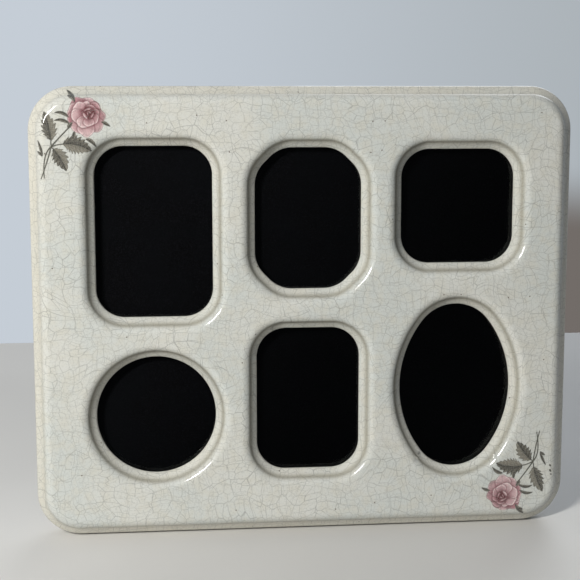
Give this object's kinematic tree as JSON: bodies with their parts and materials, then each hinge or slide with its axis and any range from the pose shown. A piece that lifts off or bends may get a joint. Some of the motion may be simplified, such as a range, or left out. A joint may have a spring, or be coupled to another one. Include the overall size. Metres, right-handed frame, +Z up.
{
  "type": "collage photo frame",
  "caption": "Glazed ceramic photo frame with windows of several shapes in a stepped moulding, glass, a backing board under turn buttons and a folding easel leg with a stay ribbon.",
  "frame": {"origin": "middle of the footprint's box, on the surface that the frame stands on", "axes": "+X across the frame to the viewer's right, +Z up; the face looks along -Y and leans back"},
  "size_m": [0.26, 0.078, 0.2125],
  "materials": {
    "glaze": "glossy cream-white glaze with a fine grey crackle",
    "glass": "clear float glass",
    "black_card": "matt black card",
    "hardboard": "brown hardboard",
    "flocked_paper": "black velvet-flocked paper",
    "plug_plastic": "off-white nylon",
    "screw_zinc": "bright zinc plate",
    "hinge_steel": "black lacquered steel",
    "rivet_steel": "nickel plate",
    "eyelet_brass": "brass plate",
    "ribbon_satin": "black satin ribbon",
    "button_steel": "nickel-plated spring steel"
  },
  "bodies": {
    "frame": {"ceramic_frame": "glaze", "glass_pane": "glass", "mount_card": "black_card", "back_board": "hardboard", "back_covering": "flocked_paper", "rim_plugs": "plug_plastic", "button_screws": "screw_zinc", "hinge_board_leaf": "hinge_steel", "board_rivets": "rivet_steel", "hinge_pin": "hinge_steel", "board_eyelet": "eyelet_brass", "stay_ribbon": "ribbon_satin"},
    "leg": {"easel_leg": "hardboard", "leg_covering": "flocked_paper", "hinge_leg_leaf": "hinge_steel", "leg_rivets": "rivet_steel", "leg_eyelet": "eyelet_brass"},
    "button_top_left": {"turn_button_top_left": "button_steel"},
    "button_top_right": {"turn_button_top_right": "button_steel"},
    "button_bottom_left": {"turn_button_bottom_left": "button_steel"},
    "button_bottom_right": {"turn_button_bottom_right": "button_steel"},
    "button_side_left": {"turn_button_side_left": "button_steel"},
    "button_side_right": {"turn_button_side_right": "button_steel"}
  },
  "joints": [
    {"name": "leg_hinge", "type": "hinge", "parent": "frame", "child": "leg", "pos_m": [0, 0.0097, 0.14552], "axis": [-1, 0, 0], "range_deg": [0, 21.5], "deforming": ["stay_ribbon"]},
    {"name": "button_top_left_turn", "type": "hinge", "parent": "frame", "child": "button_top_left", "pos_m": [-0.07, 0.0201, 0.20362], "axis": [0, -0.9781, 0.2079], "range_deg": [-90, 90]},
    {"name": "button_top_right_turn", "type": "hinge", "parent": "frame", "child": "button_top_right", "pos_m": [0.07, 0.0201, 0.20362], "axis": [0, -0.9781, 0.2079], "range_deg": [-90, 90]},
    {"name": "button_bottom_left_turn", "type": "hinge", "parent": "frame", "child": "button_bottom_left", "pos_m": [-0.07, -0.0219, 0.00604], "axis": [0, -0.9781, 0.2079], "range_deg": [-90, 90]},
    {"name": "button_bottom_right_turn", "type": "hinge", "parent": "frame", "child": "button_bottom_right", "pos_m": [0.07, -0.0219, 0.00604], "axis": [0, -0.9781, 0.2079], "range_deg": [-90, 90]},
    {"name": "button_side_left_turn", "type": "hinge", "parent": "frame", "child": "button_side_left", "pos_m": [-0.123, -0.0009, 0.10483], "axis": [0, -0.9781, 0.2079], "range_deg": [-90, 90]},
    {"name": "button_side_right_turn", "type": "hinge", "parent": "frame", "child": "button_side_right", "pos_m": [0.123, -0.0009, 0.10483], "axis": [0, -0.9781, 0.2079], "range_deg": [-90, 90]}
  ]
}
